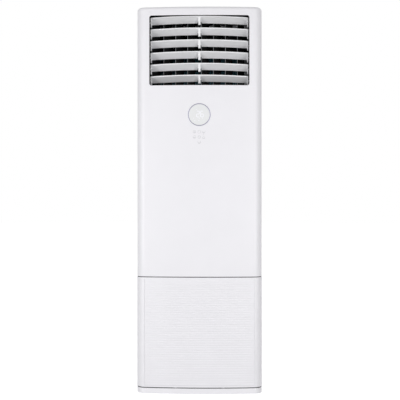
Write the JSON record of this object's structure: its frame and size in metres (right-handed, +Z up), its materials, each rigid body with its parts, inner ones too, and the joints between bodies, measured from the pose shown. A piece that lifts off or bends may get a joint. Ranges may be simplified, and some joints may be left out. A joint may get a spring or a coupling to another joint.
{
  "type": "floor standing air conditioner",
  "caption": "Tall floor standing air conditioner with a bowed front, tilting outlet blades, swinging vanes, round display and a tip-out intake grille at its foot.",
  "frame": {"origin": "middle of the footprint, on the floor", "axes": "+Z up, -Y out of the front, +X to the viewer's right as the front is looked at"},
  "size_m": [0.629, 0.456, 1.935],
  "materials": {
    "white_abs": "satin moulded ABS, cool white",
    "blade_abs": "satin moulded ABS, pale grey-white",
    "black_abs": "fine-grained black ABS",
    "grey_abs": "grey moulded polypropylene",
    "painted_steel": "white powder coat on sheet steel",
    "zinc_steel": "galvanised sheet steel",
    "coil_aluminium": "thin rolled aluminium fins",
    "copper_tube": "drawn copper tube",
    "brass_nut": "machined brass",
    "lens_acrylic": "milky acrylic",
    "ring_grey": "satin violet-grey plastic",
    "circuit_board": "green lacquered circuit board",
    "seal_rubber": "moulded rubber",
    "filter_net": "blue-grey polypropylene net and frame"
  },
  "bodies": {
    "cabinet": {"base_pan": "zinc_steel", "plinth_skirt": "white_abs", "side_panel_left": "painted_steel", "side_panel_right": "painted_steel", "back_panel": "zinc_steel", "top_cover": "white_abs", "front_panel": "white_abs", "front_crossbar": "zinc_steel", "panel_catch_left": "black_abs", "panel_catch_right": "black_abs", "wall_plate_left": "zinc_steel", "wall_plate_right": "zinc_steel", "pipe_grommet": "seal_rubber", "cable_grommet": "seal_rubber", "display_ring": "ring_grey", "display_lens": "lens_acrylic", "display_board": "circuit_board", "louvre_frame": "black_abs", "louvre_motor": "zinc_steel", "vane_motor": "zinc_steel", "scroll_casing": "grey_abs", "scroll_front": "grey_abs", "fan_motor": "zinc_steel", "motor_bracket": "zinc_steel", "mid_deck": "zinc_steel", "drain_pan": "grey_abs", "gas_pipe": "copper_tube", "liquid_pipe": "copper_tube", "gas_flare_nut": "brass_nut", "liquid_flare_nut": "brass_nut", "coil_fins": "coil_aluminium", "coil_plate_left": "zinc_steel", "coil_plate_right": "zinc_steel", "electric_box": "zinc_steel", "electric_box_cover": "zinc_steel", "main_board": "circuit_board", "fan_capacitor": "grey_abs", "terminal_block": "black_abs"},
    "intake_door": {"intake_panel": "white_abs", "intake_grille": "white_abs", "air_filter": "filter_net"},
    "fan_rotor": {"fan_wheel": "black_abs", "fan_shaft": "zinc_steel", "wheel_nut": "zinc_steel"},
    "blade_1": {"louvre_blade_1": "blade_abs"},
    "blade_2": {"louvre_blade_2": "blade_abs"},
    "blade_3": {"louvre_blade_3": "blade_abs"},
    "blade_4": {"louvre_blade_4": "blade_abs"},
    "blade_5": {"louvre_blade_5": "blade_abs"},
    "blade_6": {"louvre_blade_6": "blade_abs"},
    "blade_tie": {"blade_link": "black_abs"},
    "vane_1_swing": {"vane_1": "black_abs"},
    "vane_2_swing": {"vane_2": "black_abs"},
    "vane_3_swing": {"vane_3": "black_abs"},
    "vane_4_swing": {"vane_4": "black_abs"},
    "vane_5_swing": {"vane_5": "black_abs"},
    "vane_6_swing": {"vane_6": "black_abs"},
    "vane_7_swing": {"vane_7": "black_abs"},
    "vane_8_swing": {"vane_8": "black_abs"},
    "vane_tie": {"vane_link": "black_abs"}
  },
  "joints": [
    {"name": "intake_door_tip", "type": "hinge", "parent": "cabinet", "child": "intake_door", "pos_m": [0, -0.216, 0.024], "axis": [1, 0, 0], "range_deg": [0, 14]},
    {"name": "fan_spin", "type": "hinge", "parent": "cabinet", "child": "fan_rotor", "pos_m": [-0.025, 0, 0.33], "axis": [0, -1, 0], "continuous": true},
    {"name": "blade_1_tilt", "type": "hinge", "parent": "cabinet", "child": "blade_1", "pos_m": [0, -0.164, 1.8642], "axis": [1, 0, 0], "range_deg": [-15, 60]},
    {"name": "blade_2_tilt", "type": "hinge", "parent": "cabinet", "child": "blade_2", "pos_m": [0, -0.164, 1.8052], "axis": [1, 0, 0], "range_deg": [-15, 60]},
    {"name": "blade_3_tilt", "type": "hinge", "parent": "cabinet", "child": "blade_3", "pos_m": [0, -0.164, 1.7462], "axis": [1, 0, 0], "range_deg": [-15, 60]},
    {"name": "blade_4_tilt", "type": "hinge", "parent": "cabinet", "child": "blade_4", "pos_m": [0, -0.164, 1.6872], "axis": [1, 0, 0], "range_deg": [-15, 60]},
    {"name": "blade_5_tilt", "type": "hinge", "parent": "cabinet", "child": "blade_5", "pos_m": [0, -0.164, 1.6282], "axis": [1, 0, 0], "range_deg": [-15, 60]},
    {"name": "blade_6_tilt", "type": "hinge", "parent": "cabinet", "child": "blade_6", "pos_m": [0, -0.164, 1.5692], "axis": [1, 0, 0], "range_deg": [-15, 60]},
    {"name": "blade_tie_pivot", "type": "hinge", "parent": "blade_1", "child": "blade_tie", "pos_m": [0, -0.15038, 1.8598], "axis": [1, 0, 0], "range_deg": [-60, 15]},
    {"name": "vane_1_turn", "type": "hinge", "parent": "cabinet", "child": "vane_1_swing", "pos_m": [-0.2185, -0.074, 1.72], "axis": [0, 0, 1], "range_deg": [-7, 63]},
    {"name": "vane_2_turn", "type": "hinge", "parent": "cabinet", "child": "vane_2_swing", "pos_m": [-0.1575, -0.074, 1.72], "axis": [0, 0, 1], "range_deg": [-7, 63]},
    {"name": "vane_3_turn", "type": "hinge", "parent": "cabinet", "child": "vane_3_swing", "pos_m": [-0.0965, -0.074, 1.72], "axis": [0, 0, 1], "range_deg": [-7, 63]},
    {"name": "vane_4_turn", "type": "hinge", "parent": "cabinet", "child": "vane_4_swing", "pos_m": [-0.0355, -0.074, 1.72], "axis": [0, 0, 1], "range_deg": [-7, 63]},
    {"name": "vane_5_turn", "type": "hinge", "parent": "cabinet", "child": "vane_5_swing", "pos_m": [0.0355, -0.074, 1.72], "axis": [0, 0, 1], "range_deg": [-7, 63]},
    {"name": "vane_6_turn", "type": "hinge", "parent": "cabinet", "child": "vane_6_swing", "pos_m": [0.0965, -0.074, 1.72], "axis": [0, 0, 1], "range_deg": [-7, 63]},
    {"name": "vane_7_turn", "type": "hinge", "parent": "cabinet", "child": "vane_7_swing", "pos_m": [0.1575, -0.074, 1.72], "axis": [0, 0, 1], "range_deg": [-7, 63]},
    {"name": "vane_8_turn", "type": "hinge", "parent": "cabinet", "child": "vane_8_swing", "pos_m": [0.2185, -0.074, 1.72], "axis": [0, 0, 1], "range_deg": [-7, 63]},
    {"name": "vane_tie_pivot", "type": "hinge", "parent": "vane_1_swing", "child": "vane_tie", "pos_m": [-0.20442, -0.04751, 1.636], "axis": [0, 0, 1], "range_deg": [-63, 7]}
  ],
  "couplings": [
    {"joint": "blade_2_tilt", "follows": "blade_1_tilt", "ratio": 1},
    {"joint": "blade_3_tilt", "follows": "blade_1_tilt", "ratio": 1},
    {"joint": "blade_4_tilt", "follows": "blade_1_tilt", "ratio": 1},
    {"joint": "blade_5_tilt", "follows": "blade_1_tilt", "ratio": 1},
    {"joint": "blade_6_tilt", "follows": "blade_1_tilt", "ratio": 1},
    {"joint": "blade_tie_pivot", "follows": "blade_1_tilt", "ratio": -1},
    {"joint": "vane_2_turn", "follows": "vane_1_turn", "ratio": 1},
    {"joint": "vane_3_turn", "follows": "vane_1_turn", "ratio": 1},
    {"joint": "vane_4_turn", "follows": "vane_1_turn", "ratio": 1},
    {"joint": "vane_5_turn", "follows": "vane_1_turn", "ratio": 1},
    {"joint": "vane_6_turn", "follows": "vane_1_turn", "ratio": 1},
    {"joint": "vane_7_turn", "follows": "vane_1_turn", "ratio": 1},
    {"joint": "vane_8_turn", "follows": "vane_1_turn", "ratio": 1},
    {"joint": "vane_tie_pivot", "follows": "vane_1_turn", "ratio": -1}
  ]
}
